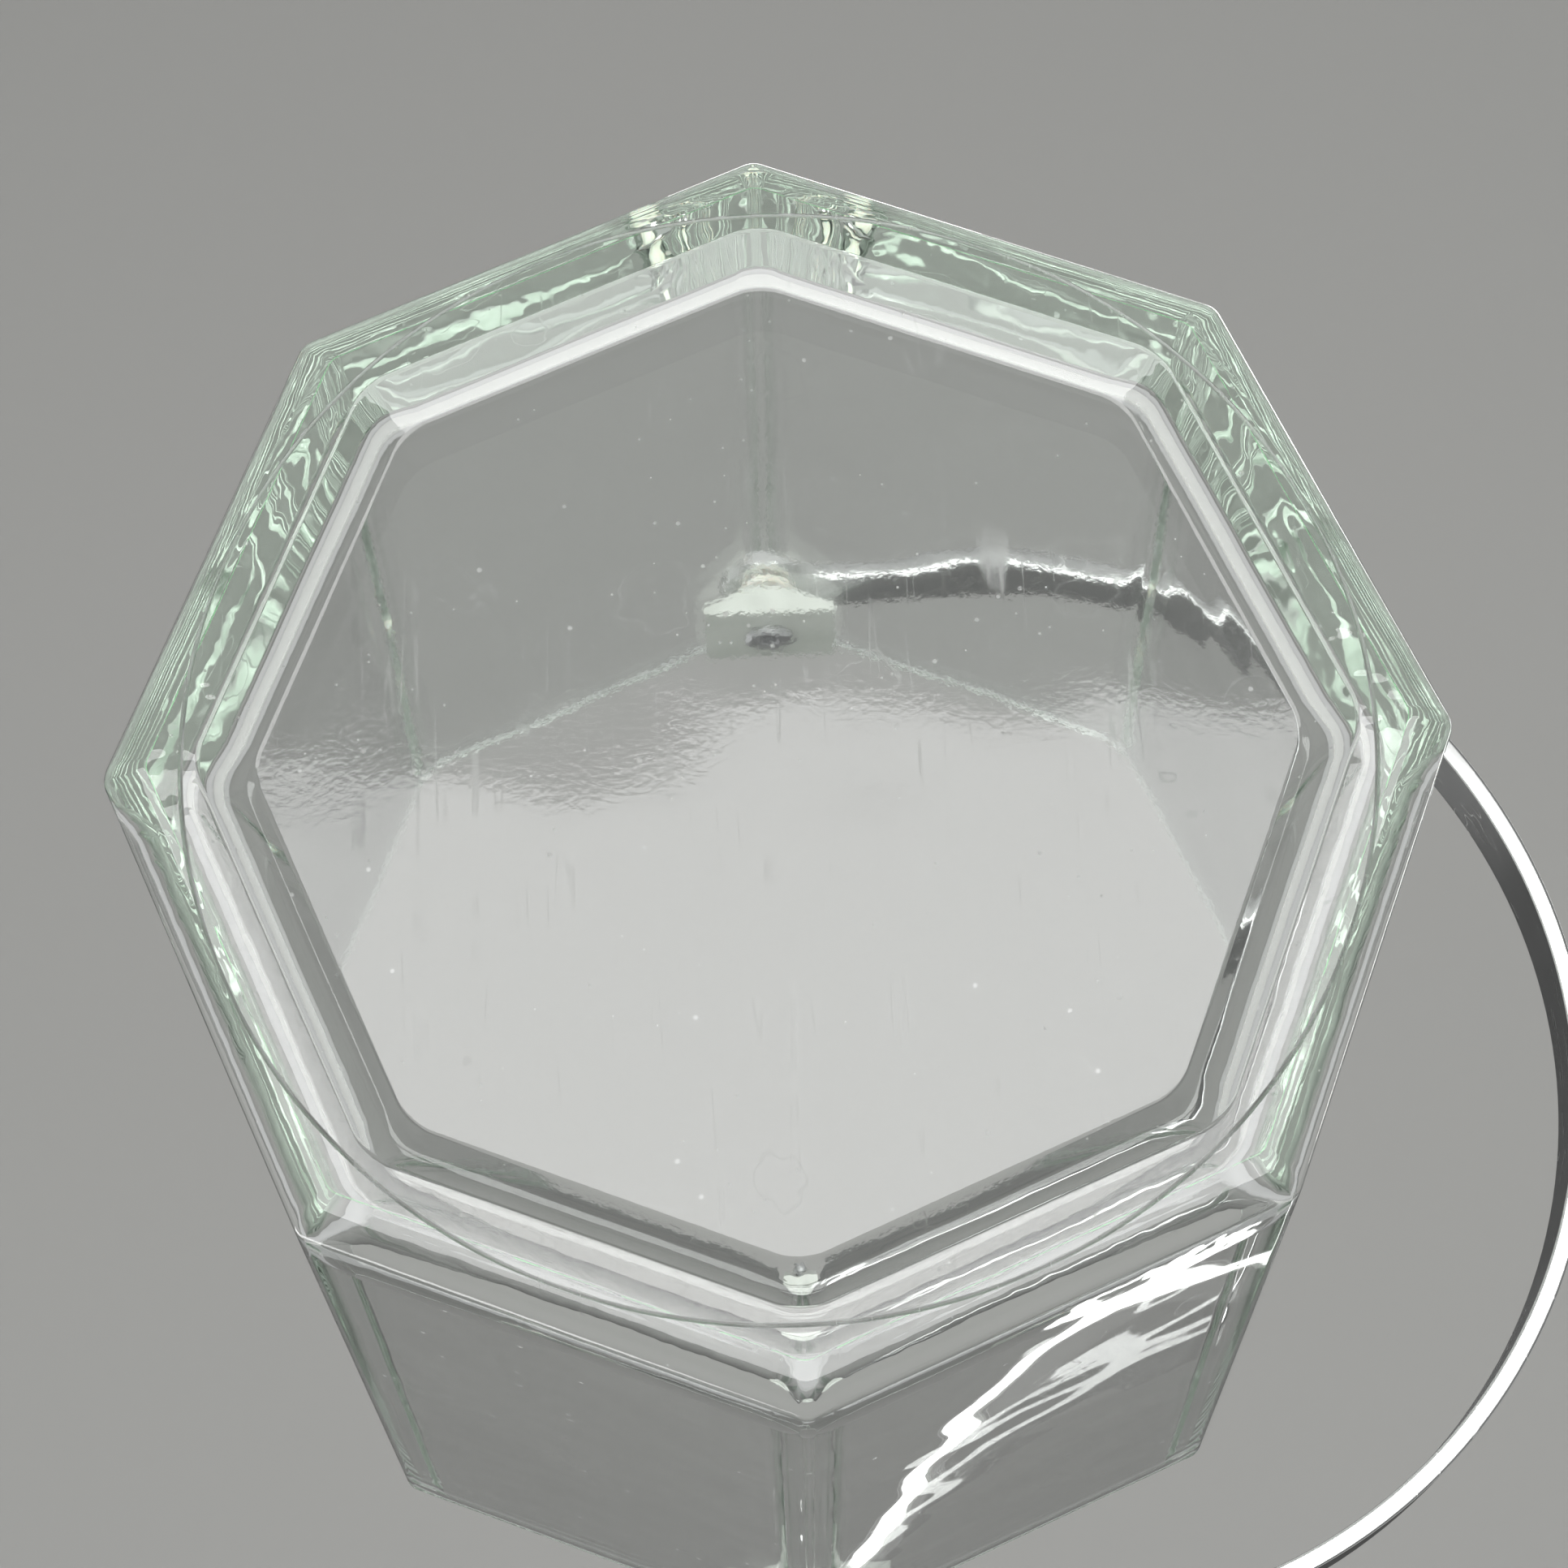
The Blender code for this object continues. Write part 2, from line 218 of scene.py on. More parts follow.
def open_primitive(name):
    """Names the primitive just added, moves its place into its mesh and opens it for editing."""
    piece = bpy.context.object
    piece.name = name
    bpy.ops.object.transform_apply(location=True, rotation=True, scale=True)
    bpy.ops.object.mode_set(mode="EDIT")
    bpy.ops.mesh.select_all(action="SELECT")
    return piece


def pick(kind, test):
    """Selects the vertices, edges or faces that pass a test, and says how many there are."""
    bpy.ops.mesh.select_mode(type=kind)
    bpy.ops.mesh.select_all(action="DESELECT")
    mesh = bmesh.from_edit_mesh(bpy.context.object.data)
    elements = {"VERT": mesh.verts, "EDGE": mesh.edges, "FACE": mesh.faces}[kind]
    found = [element for element in elements if test(element)]
    for element in found:
        element.select_set(True)
    bmesh.update_edit_mesh(bpy.context.object.data)
    if not found:
        raise RuntimeError("nothing on " + bpy.context.object.name + " passes the test")
    return len(found)


def extrude_ring(shift, scale, centre):
    """Extrudes the selected loop of edges by a shift, then scales the new loop about a centre."""
    bpy.ops.mesh.extrude_edges_move(TRANSFORM_OT_translate={"value": shift})
    bpy.ops.transform.resize(value=scale, center_override=centre)


def apply_modifier(piece, kind, **settings):
    """Adds a modifier with these settings and applies it."""
    choose(piece)
    modifier = piece.modifiers.new(kind.title(), kind)
    for key, value in settings.items():
        setattr(modifier, key, value)
    bpy.ops.object.modifier_apply(modifier=modifier.name)


def cut(piece, cutter):
    """Cuts a tool's shape out of a piece and deletes the tool."""
    apply_modifier(piece, "BOOLEAN", operation="DIFFERENCE", solver="EXACT", object=cutter)
    bpy.data.objects.remove(cutter, do_unlink=True)


def clean_surface(piece):
    """Merges doubles, drops slivers and turns faces outwards."""
    choose(piece)
    bpy.ops.object.mode_set(mode="EDIT")
    bpy.ops.mesh.select_all(action="SELECT")
    bpy.ops.mesh.remove_doubles(threshold=MERGE_DISTANCE)
    bpy.ops.mesh.dissolve_degenerate(threshold=MERGE_DISTANCE)
    bpy.ops.mesh.select_all(action="SELECT")
    bpy.ops.mesh.normals_make_consistent(inside=False)
    bpy.ops.object.mode_set(mode="OBJECT")


def finish_surface(piece, angle):
    """Cleans the surface and gives it soft shading that stays flat on the flats."""
    clean_surface(piece)
    bpy.ops.object.shade_smooth_by_angle(angle=math.radians(angle))
    apply_modifier(piece, "WEIGHTED_NORMAL", mode="FACE_AREA", keep_sharp=True)


def check_box(piece, low, high):
    """Raises an error unless the piece fills the box of the CAD node that it stands for."""
    corners = [Vector(corner) for corner in piece.bound_box]
    found_low = Vector([min(corner[axis] for corner in corners) for axis in range(3)])
    found_high = Vector([max(corner[axis] for corner in corners) for axis in range(3)])
    worst = max(abs(value) for value in [*(found_low - low), *(found_high - high)])
    if worst > BOX_TOLERANCE:
        raise RuntimeError(f"{piece.name} misses its CAD box by {worst * 1000:.2f} mm")


def place_piece(piece, body, nodes, material):
    """Gives a finished piece its material and its body, and hides the CAD nodes that it stands for.
    """
    piece.data.materials.clear()
    piece.data.materials.append(material)
    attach(piece, body)
    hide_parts(*nodes)


def add_octagon(name, apothem, corner_radius, z):
    """A level octagon outline with rounded corners, open for editing and selected."""
    deselect_all()
    bpy.ops.mesh.primitive_circle_add(
        vertices=SIDES, radius=apothem / APOTHEM_RATIO, location=(0.0, 0.0, z)
    )
    piece = open_primitive(name)
    bpy.ops.mesh.bevel(
        affect="VERTICES",
        offset=corner_radius * math.tan(HALF_SECTOR),
        segments=8,
    )
    bpy.ops.mesh.select_all(action="SELECT")
    return piece


def level_at(edge, z):
    """Whether both ends of an edge lie at a height."""
    return all(abs(vert.co.z - z) < SAME_PLACE for vert in edge.verts)


def rounded(corners, steps):
    """A profile through (distance, height, radius) corners, with an arc at each inner corner."""
    profile = [corners[0][:2]]
    for before, corner, after in zip(corners, corners[1:], corners[2:]):
        point = Vector(corner[:2])
        back = (Vector(before[:2]) - point).normalized()
        ahead = (Vector(after[:2]) - point).normalized()
        half = back.angle(ahead) / 2
        centre = point + (back + ahead).normalized() * corner[2] / math.sin(half)
        start = point + back * corner[2] / math.tan(half) - centre
        end = point + ahead * corner[2] / math.tan(half) - centre
        for step in range(steps + 1):
            spoke = start.normalized().slerp(end.normalized(), step / steps) * corner[2]
            profile.append(tuple(centre + spoke))
    profile.append(corners[-1][:2])
    return profile


def extrude_octagon(profile):
    """Extrudes the selected octagon outline along a profile of (apothem, height) points."""
    for (last_apothem, last_z), (apothem, z) in zip(profile, profile[1:]):
        grow = apothem / last_apothem
        extrude_ring((0.0, 0.0, z - last_z), (grow, grow, 1.0), (0.0, 0.0, z))


def add_cylinder_about_y(name, radius, start_y, end_y):
    """A cylinder along the hinge axis, as a tool."""
    deselect_all()
    bpy.ops.mesh.primitive_cylinder_add(
        vertices=48,
        radius=radius,
        depth=abs(end_y - start_y),
        location=(HINGE.x, (start_y + end_y) / 2, HINGE.z),
        rotation=(math.pi / 2, 0.0, 0.0),
    )
    piece = open_primitive(name)
    bpy.ops.object.mode_set(mode="OBJECT")
    return piece


# The glass body


def jar_apothems(sizes):
    """Apothems of the base, the rim and the cavity at its floor and rim."""
    base = sizes.base_across * APOTHEM_RATIO
    rim = sizes.rim_across * APOTHEM_RATIO
    return base, rim, base - sizes.wall_at_floor, rim - sizes.wall_at_rim


def add_shell(name, corners, corner_radius, steps):
    """One stretch of the body's surface: an octagon outline extruded along a rounded profile."""
    profile = rounded(corners, steps)
    shell = add_octagon(name, profile[0][0], corner_radius, profile[0][1])
    extrude_octagon(profile)
    bpy.ops.object.mode_set(mode="OBJECT")
    return shell


def add_body_shells(sizes):
    """The recess, the outside of the walls and the cavity, each with its own corner rounding."""
    base, rim, low, high = jar_apothems(sizes)
    mouth = sizes.recess_mouth * APOTHEM_RATIO
    floor = sizes.recess_floor * APOTHEM_RATIO
    under = sizes.floor_thickness
    recess = [
        (floor - 2 * sizes.recess_edge, 0.0, 0.0),
        (floor, 0.0, sizes.recess_edge),
        (mouth, JAR_LOW.z, sizes.recess_edge),
        (mouth + 2 * sizes.recess_edge, JAR_LOW.z, 0.0),
    ]
    outside = [
        (base - sizes.heel - RING_RUN, JAR_LOW.z, 0.0),
        (base, JAR_LOW.z, sizes.heel),
        (rim, JAR_HIGH.z, sizes.rim_edge),
        (rim - sizes.rim_edge - RIM_RUN, JAR_HIGH.z, 0.0),
    ]
    cavity = [
        (high + sizes.rim_edge + RIM_RUN, JAR_HIGH.z, 0.0),
        (high, JAR_HIGH.z, sizes.rim_edge),
        (low, under, sizes.floor_fillet),
        (low - sizes.floor_fillet - RING_RUN, under, 0.0),
    ]
    return (
        add_shell("glass_body", outside, sizes.outer_corner, WALL_STEPS),
        add_shell("recess", recess, sizes.recess_corner, RECESS_STEPS),
        add_shell("cavity", cavity, sizes.inner_corner, WALL_STEPS),
    )


def join_shells(shells):
    """Joins the shells across the standing ring and the rim, and closes the two floors."""
    choose(*shells)
    bpy.ops.object.join()
    bpy.ops.object.mode_set(mode="EDIT")
    for z in (JAR_LOW.z, JAR_HIGH.z):
        pick("EDGE", lambda edge: edge.is_boundary and level_at(edge, z))
        bpy.ops.mesh.bridge_edge_loops()
    bpy.ops.mesh.select_all(action="DESELECT")
    bpy.ops.mesh.select_non_manifold()
    bpy.ops.mesh.edge_face_add()
    bpy.ops.object.mode_set(mode="OBJECT")


def add_pad_tool(sizes, side):
    """A wedge that flattens one corner of the jar behind the handle's eye."""
    reach = 0.010
    low = JAR_HIGH.z - sizes.pad_drop
    deselect_all()
    bpy.ops.mesh.primitive_cube_add(
        size=1.0,
        location=(0.0, side * (sizes.pad_distance + reach / 2), low + 2 * reach),
        scale=(4 * reach, reach, 4 * reach),
    )
    tool = open_primitive("pad_tool")
    far = sizes.pad_distance + reach / 2

    def outer_lower(vert):
        return vert.co.z < low + reach and side * vert.co.y > far

    pick("VERT", outer_lower)
    bpy.ops.transform.translate(value=(0.0, 0.0, -reach))
    bpy.ops.object.mode_set(mode="OBJECT")
    return tool


def add_seam_tool(sizes):
    """A thin ring that marks the mould seam into the underside."""
    deselect_all()
    bpy.ops.mesh.primitive_torus_add(
        major_radius=sizes.seam_radius,
        minor_radius=sizes.seam_depth,
        major_segments=192,
        minor_segments=8,
        location=(0.0, 0.0, JAR_LOW.z - 0.3 * sizes.seam_depth),
    )
    tool = open_primitive("seam_tool")
    bpy.ops.object.mode_set(mode="OBJECT")
    return tool


def make_glass_body(sizes, pivots, material):
    """The pressed-glass body with its pads, pivot holes and mould seam."""
    shells = add_body_shells(sizes)
    join_shells(shells)
    body = shells[0]
    clean_surface(body)
    for side in (-1, 1):
        cut(body, add_pad_tool(sizes, side))
    reach = JAR_HIGH.x + 0.01
    hole = pivots.pin_radius + pivots.gap + pivots.bush_wall + pivots.gap
    cut(body, add_cylinder_about_y("hole_tool", hole, -reach, reach))
    cut(body, add_seam_tool(sizes))
    finish_surface(body, 32)
    check_box(body, JAR_LOW, JAR_HIGH)
    place_piece(body, "jar", ["glass_jar"], material)
    # Light passes clear glass, so the body casts no shadow.
    body.visible_shadow = False


# The handle


def smooth_step(share):
    """A share from 0 to 1 with a level start and end."""
    return share * share * (3 - 2 * share)


def add_strap_eye(sizes, middle):
    """The handle's round end: a disc with rounded edges, opened where the strap leaves it."""
    deselect_all()
    bpy.ops.mesh.primitive_cylinder_add(
        vertices=48,
        radius=sizes.eye_radius,
        depth=sizes.thickness,
        location=(HINGE.x, middle, HINGE.z),
        rotation=(math.pi / 2, 0.0, 0.0),
    )
    strap = open_primitive("bail_handle")
    pick("EDGE", lambda edge: abs(edge.verts[0].co.y - edge.verts[1].co.y) < 1e-6)
    bpy.ops.mesh.bevel(offset=sizes.edge, segments=5, affect="EDGES")

    def at_strap(face):
        spoke = face.calc_center_median() - Vector((HINGE.x, middle, HINGE.z))
        return abs(face.normal.y) < 0.999 and spoke.x > abs(spoke.z)

    pick("FACE", at_strap)
    bpy.ops.mesh.delete(type="FACE")
    pick("EDGE", lambda edge: edge.is_boundary)
    return strap


def make_bail_strap(sizes, pivots, material):
    """The flat strap: half is drawn from one eye to the top of the bow, then mirrored."""
    middle = BUSH_HIGH.y + pivots.gap + sizes.thickness / 2
    strap = add_strap_eye(sizes, middle)
    half_width = sizes.eye_radius * math.sqrt(0.5)
    x = 0.0
    for share, width in NECK_STATIONS:
        next_x = sizes.eye_length * share
        narrow = sizes.width / 2 * width / half_width
        flatten = 1.0 if x else 0.0
        centre = (next_x, middle, HINGE.z)
        extrude_ring((next_x - x, 0.0, 0.0), (flatten, 1.0, narrow), centre)
        half_width *= narrow
        x = next_x
    run = sizes.bow_centre - sizes.eye_length
    drift = sizes.bow_radius - middle
    shares = [smooth_step(step / LEG_STEPS) for step in range(LEG_STEPS + 1)]
    for before, after in zip(shares, shares[1:]):
        shift = (run / LEG_STEPS, drift * (after - before), 0.0)
        bpy.ops.mesh.extrude_edges_move(TRANSFORM_OT_translate={"value": shift})
    bpy.ops.mesh.spin(
        steps=BOW_STEPS,
        angle=math.pi / 2,
        center=(sizes.bow_centre, 0.0, HINGE.z),
        axis=(0.0, 0.0, 1.0),
    )
    bpy.ops.object.mode_set(mode="OBJECT")
    apply_modifier(
        strap, "MIRROR", use_axis=(False, True, False), merge_threshold=SAME_PLACE, use_clip=False
    )
    clean_surface(strap)
    reach = sizes.bow_radius + 0.01
    cut(strap, add_cylinder_about_y("eye_tool", pivots.pin_radius + pivots.gap, -reach, reach))
    drop = JAR_HIGH.z - HINGE.z - sizes.width / 2
    tilt = math.asin(drop / (sizes.bow_centre + sizes.bow_radius + sizes.thickness / 2))
    choose(strap)
    bpy.ops.object.mode_set(mode="EDIT")
    bpy.ops.mesh.select_all(action="SELECT")
    bpy.ops.transform.rotate(value=tilt, orient_axis="Y", center_override=HINGE)
    bpy.ops.object.mode_set(mode="OBJECT")
    finish_surface(strap, 35)
    check_box(strap, STRAP_LOW, STRAP_HIGH)
    place_piece(strap, "bail", ["bail_strap"], material)


# The pivots


def turn_profile(name, profile, side, ring=False):
    """A round piece on the hinge axis, drawn by extruding a circle along (radius, distance)."""
    radius, start = profile[0]
    deselect_all()
    bpy.ops.mesh.primitive_circle_add(
        vertices=48,
        radius=radius,
        location=(HINGE.x, side * start, HINGE.z),
        rotation=(math.pi / 2, 0.0, 0.0),
    )
    piece = open_primitive(name)
    bpy.ops.mesh.select_mode(type="EDGE")
    if not ring:
        bpy.ops.mesh.edge_face_add()
        bpy.ops.mesh.select_all(action="SELECT")
    for before, after in zip(profile, profile[1:]):
        scale = after[0] / before[0]
        shift = (0.0, side * (after[1] - before[1]), 0.0)
        centre = (HINGE.x, side * after[1], HINGE.z)
        extrude_ring(shift, (scale, 1.0, scale), centre)
    if ring:
        pick("EDGE", lambda edge: edge.is_boundary)
        bpy.ops.mesh.bridge_edge_loops()
    else:
        bpy.ops.mesh.edge_face_add()
    bpy.ops.object.mode_set(mode="OBJECT")
    return piece


def make_rivet(name, side, node, sizes, bail, material):
    """A rivet with a domed head outside the strap and a hollow, flared tail inside the jar."""
    under_head = BUSH_HIGH.y + sizes.gap + bail.thickness + sizes.gap
    tail = PIN_LOW.y
    head_radius = PIN_HIGH.x
    flare = 0.0008
    chamfer = 0.0004
    hollow = 0.0040
    profile = [
        (sizes.tail_bore / 2, tail + hollow),
        (sizes.tail_bore, tail + hollow - chamfer),
        (sizes.tail_bore, tail + chamfer / 2),
        (sizes.tail_bore + chamfer / 2, tail),
        (sizes.tail_radius - chamfer, tail),
        (sizes.tail_radius, tail + chamfer),
        (sizes.tail_radius, tail + flare),
        (sizes.pin_radius, tail + flare),
        (sizes.pin_radius, under_head),
        (head_radius - chamfer / 2, under_head),
        (head_radius, under_head + chamfer / 2),
    ]
    steps = 8
    for step in range(1, steps):
        angle = math.pi / 2 * step / steps
        rise = (sizes.head_height - chamfer / 2) * math.sin(angle)
        profile.append((head_radius * math.cos(angle), under_head + chamfer / 2 + rise))
    rivet = turn_profile(name, profile, side)
    finish_surface(rivet, 40)
    place_piece(rivet, "jar", [node], material)


def make_bush(name, side, node, sizes, material):
    """A flanged sleeve that lines the hole in the glass."""
    bore = sizes.pin_radius + sizes.gap
    sleeve = bore + sizes.bush_wall
    flange = BUSH_HIGH.x
    near = BUSH_HIGH.y - sizes.bush_flange
    chamfer = 0.00025
    profile = [
        (bore, BUSH_LOW.y),
        (sleeve, BUSH_LOW.y),
        (sleeve, near),
        (flange - chamfer, near),
        (flange, near + chamfer),
        (flange, BUSH_HIGH.y - chamfer),
        (flange - chamfer, BUSH_HIGH.y),
        (bore + chamfer, BUSH_HIGH.y),
        (bore, BUSH_HIGH.y - chamfer),
    ]
    bush = turn_profile(name, profile, side, ring=True)
    finish_surface(bush, 35)
    place_piece(bush, "jar", [node], material)


def make_saddle(name, side, node, jar, sizes, material):
    """A plastic block in the cavity's corner: a slice of the cavity's own shape, cut to a block."""
    _, _, low, high = jar_apothems(jar)
    rise = (high - low) / (JAR_HIGH.z - jar.floor_thickness)
    bottom = low + rise * (SADDLE_LOW.z - jar.floor_thickness) - sizes.gap
    top = low + rise * (SADDLE_HIGH.z - jar.floor_thickness) - sizes.gap
    saddle = add_octagon(name, bottom, jar.inner_corner, SADDLE_LOW.z)
    bpy.ops.mesh.edge_face_add()
    pick("EDGE", lambda edge: edge.is_boundary)
    grow = top / bottom
    height = SADDLE_HIGH.z - SADDLE_LOW.z
    extrude_ring((0.0, 0.0, height), (grow, grow, 1.0), (0.0, 0.0, SADDLE_HIGH.z))
    bpy.ops.mesh.edge_face_add()
    half = SADDLE_HIGH.x
    cuts = (
        ((half, 0.0, 0.0), (1.0, 0.0, 0.0)),
        ((-half, 0.0, 0.0), (-1.0, 0.0, 0.0)),
        ((0.0, side * SADDLE_LOW.y, 0.0), (0.0, -side, 0.0)),
    )
    for point, normal in cuts:
        bpy.ops.mesh.select_all(action="SELECT")
        bpy.ops.mesh.bisect(plane_co=point, plane_no=normal, use_fill=True, clear_outer=True)
    bpy.ops.object.mode_set(mode="OBJECT")
    clean_surface(saddle)
    ends = (side * (SADDLE_LOW.y - 0.01), side * (SADDLE_HIGH.y + 0.01))
    cut(saddle, add_cylinder_about_y("saddle_tool", sizes.pin_radius + sizes.gap, *ends))
    apply_modifier(
        saddle,
        "BEVEL",
        width=sizes.saddle_edge,
        segments=3,
        limit_method="ANGLE",
        angle_limit=math.radians(50),
    )
    finish_surface(saddle, 35)
    place_piece(saddle, "jar", [node], material)


# Materials


class Wire:
    """A shader socket that takes arithmetic, so that shader maths reads as expressions."""

    def __init__(self, graph, socket):
        self.graph = graph
        self.socket = socket

    def __add__(self, other):
        return self.graph.maths("ADD", self, other)

    def __sub__(self, other):
        return self.graph.maths("SUBTRACT", self, other)

    def __rsub__(self, other):
        return self.graph.maths("SUBTRACT", other, self)

    def __mul__(self, other):
        return self.graph.maths("MULTIPLY", self, other)

    def __abs__(self):
        return self.graph.maths("ABSOLUTE", self, 0.0)

    __radd__ = __add__
    __rmul__ = __mul__


class Graph:
    """The node tree of a material or of the world, emptied."""

    def __init__(self, owner):
        owner.use_nodes = True
        self.owner = owner
        self.tree = owner.node_tree
        self.tree.nodes.clear()

    def node(self, kind, settings, sockets, output=0):
        """Adds a node, sets it up, then feeds its sockets. Gives back one of its outputs."""
        made = self.tree.nodes.new(kind)
        for key, value in settings.items():
            if key == "stops":
                set_stops(made.color_ramp, value)
            else:
                setattr(made, key, value)
        for key, value in sockets.items():
            if isinstance(value, Wire):
                self.tree.links.new(value.socket, made.inputs[key])
            else:
                made.inputs[key].default_value = value
        return Wire(self, made.outputs[output]) if made.outputs else made

    def maths(self, operation, first, second):
        """A Math node on values or numbers."""
        return self.node("ShaderNodeMath", {"operation": operation}, {0: first, 1: second})

    def place(self, scale=(1.0, 1.0, 1.0), turn=(0.0, 0.0, 0.0)):
        """Object coordinates, turned and then stretched."""
        coordinates = self.node("ShaderNodeTexCoord", {}, {}, "Object")
        sockets = {"Vector": coordinates, "Rotation": turn, "Scale": scale}
        return self.node("ShaderNodeMapping", {"vector_type": "POINT"}, sockets)

    def noise(self, place, scale, detail=2.0, roughness=0.5):
        """Soft noise from 0 to 1, with features 1 / scale metres across."""
        sockets = {"Vector": place, "Scale": scale, "Detail": detail, "Roughness": roughness}
        return self.node("ShaderNodeTexNoise", {}, sockets, "Fac")

    def band(self, value, start, end):
        """0 below start, 1 above end, and smooth between them. Start may be above end."""
        sockets = {"Value": value, "From Min": start, "From Max": end}
        return self.node("ShaderNodeMapRange", {"interpolation_type": "SMOOTHSTEP"}, sockets)

    def mix(self, factor, first, second):
        """A colour between two colours."""
        sockets = {0: factor, 6: first, 7: second}
        return self.node("ShaderNodeMix", {"data_type": "RGBA"}, sockets, 2)

    def bump(self, height, distance, normal=None):
        """A Bump node; height 1 stands distance metres proud."""
        sockets = {"Height": height, "Distance": distance, "Strength": 1.0}
        if normal:
            sockets["Normal"] = normal
        return self.node("ShaderNodeBump", {}, sockets)

    def principled(self, sockets):
        """The surface shader, joined to the output."""
        shader = self.node("ShaderNodeBsdfPrincipled", {}, sockets)
        self.output = self.node("ShaderNodeOutputMaterial", {}, {"Surface": shader})
        return self.owner


def set_stops(ramp, stops):
    """Sets a colour ramp's stops from (position, grey) pairs."""
    while len(ramp.elements) < len(stops):
        ramp.elements.new(1.0)
    for element, (position, grey) in zip(ramp.elements, stops):
        element.position = position
        element.color = (grey, grey, grey, 1.0)


def scratches(graph, scale, turns, width):
    """Fine straight scratches in a few directions, 1 on a scratch and 0 beside it."""
    total = None
    for turn, stretch in turns:
        place = graph.place(scale=(1.0, stretch, 1.0), turn=(0.0, 0.0, math.radians(turn)))
        field = graph.noise(place, scale, detail=1.0)
        line = graph.band(abs(field - 0.5), width, 0.0)
        # Each direction's patches come from noise that lies turned another way.
        where = graph.band(graph.noise(graph.place(turn=(0.0, 0.0, turn)), 90.0), 0.52, 0.62)
        marks = line * where
        total = marks if total is None else total + marks
    return total


def specks(graph, scale, size, share):
    """Small round specks, one in some of the cells of a Voronoi pattern."""
    sockets = {"Vector": graph.place(), "Scale": scale}
    near = graph.node("ShaderNodeTexVoronoi", {}, sockets, "Distance")
    cell = graph.node("ShaderNodeTexVoronoi", {}, sockets, "Color")
    chance = graph.node("ShaderNodeSeparateColor", {}, {"Color": cell}, "Red")
    return graph.band(near, size, size / 2) * graph.band(chance, 1.0 - share, 1.0 - share + 0.02)


def water_marks(graph, scale, size, share):
    """Thin closed outlines of dried drops, one in some of the cells of a wobbly Voronoi pattern."""
    place = graph.place()
    wobble = graph.node("ShaderNodeTexNoise", {}, {"Vector": place, "Scale": 160.0}, "Color")
    shift = {0: wobble, 1: (0.008, 0.008, 0.008), 2: place}
    moved = graph.node("ShaderNodeVectorMath", {"operation": "MULTIPLY_ADD"}, shift)
    sockets = {"Vector": moved, "Scale": scale}
    near = graph.node("ShaderNodeTexVoronoi", {}, sockets, "Distance")
    cell = graph.node("ShaderNodeTexVoronoi", {}, sockets, "Color")
    chance = graph.node("ShaderNodeSeparateColor", {}, {"Color": cell}, "Green")
    outline = graph.band(abs(near - size), 0.016, 0.004)
    return outline * graph.band(chance, 1.0 - share, 1.0 - share + 0.02)


def rgba(value):
    """A colour property as four numbers."""
    return (*value, 1.0)


def glass_material(colours, sizes):
    """Clear pressed glass: wavy, lightly scratched, with dried water marks, green in its depth."""
    graph = Graph(bpy.data.materials.new("pressed_glass"))
    place = graph.place()
    height = graph.node("ShaderNodeSeparateXYZ", {}, {"Vector": place}, "Z")
    flat = {0: place, 1: (1.0, 1.0, 0.0)}
    level = graph.node("ShaderNodeVectorMath", {"operation": "MULTIPLY"}, flat)
    radius = graph.node("ShaderNodeVectorMath", {"operation": "LENGTH"}, {0: level}, "Value")
    recess = graph.band(abs(height), *RECESS_LEVEL) * graph.band(radius, *RECESS_REACH)
    heel = graph.band(height, *HEEL_LEVEL) * graph.band(radius, *HEEL_REACH)
    under = graph.band(height, *UNDERSIDE_LEVEL)
    # The seam mask roughens the mould seam and also carries its painted shade.
    seam = graph.band(abs(radius - sizes.seam_radius), *SEAM_REACH) * under
    waves = graph.noise(place, 38.0, detail=1.0)
    flow = graph.noise(graph.place(scale=(1.0, 1.0, 0.6)), 190.0, detail=2.0)
    grain = graph.noise(place, 1300.0, detail=2.0)
    marks = scratches(graph, 260.0, ((12, 0.03), (101, 0.04)), 0.012) * under
    dust = specks(graph, 420.0, 0.16, 0.07) + specks(graph, 900.0, 0.20, 0.10) * under
    water = water_marks(graph, 75.0, 0.24, 0.30)
    normal = graph.bump(waves, 0.00030)
    normal = graph.bump(flow * (0.04 + heel * 0.96), 0.00010, normal)
    normal = graph.bump(grain * recess, 0.000006, normal)
    rough = 0.012 + recess * 0.045 + marks * 0.10 + dust * 0.25 + water * 0.08 + seam * 0.2
    soiled = graph.maths("MINIMUM", dust * 0.7 + water * 0.35 + marks * 0.25, 1.0)
    surface = graph.mix(soiled, rgba(colours.glass), (0.80, 0.82, 0.80, 1.0))
    # Painted shade: the mould seam's groove is darkened in the glass's colour.
    surface = graph.mix(seam * 0.8, surface, (0.20, 0.22, 0.20, 1.0))
    material = graph.principled(
        {
            "Base Color": surface,
            "Roughness": rough,
            "Normal": normal,
            "IOR": GLASS_IOR,
            "Transmission Weight": 1.0,
        }
    )
    green = {"Color": rgba(colours.glass_depth), "Density": GREEN_DENSITY}
    depth = graph.node("ShaderNodeVolumeAbsorption", {}, green)
    graph.tree.links.new(depth.socket, graph.output.inputs["Volume"])
    return material


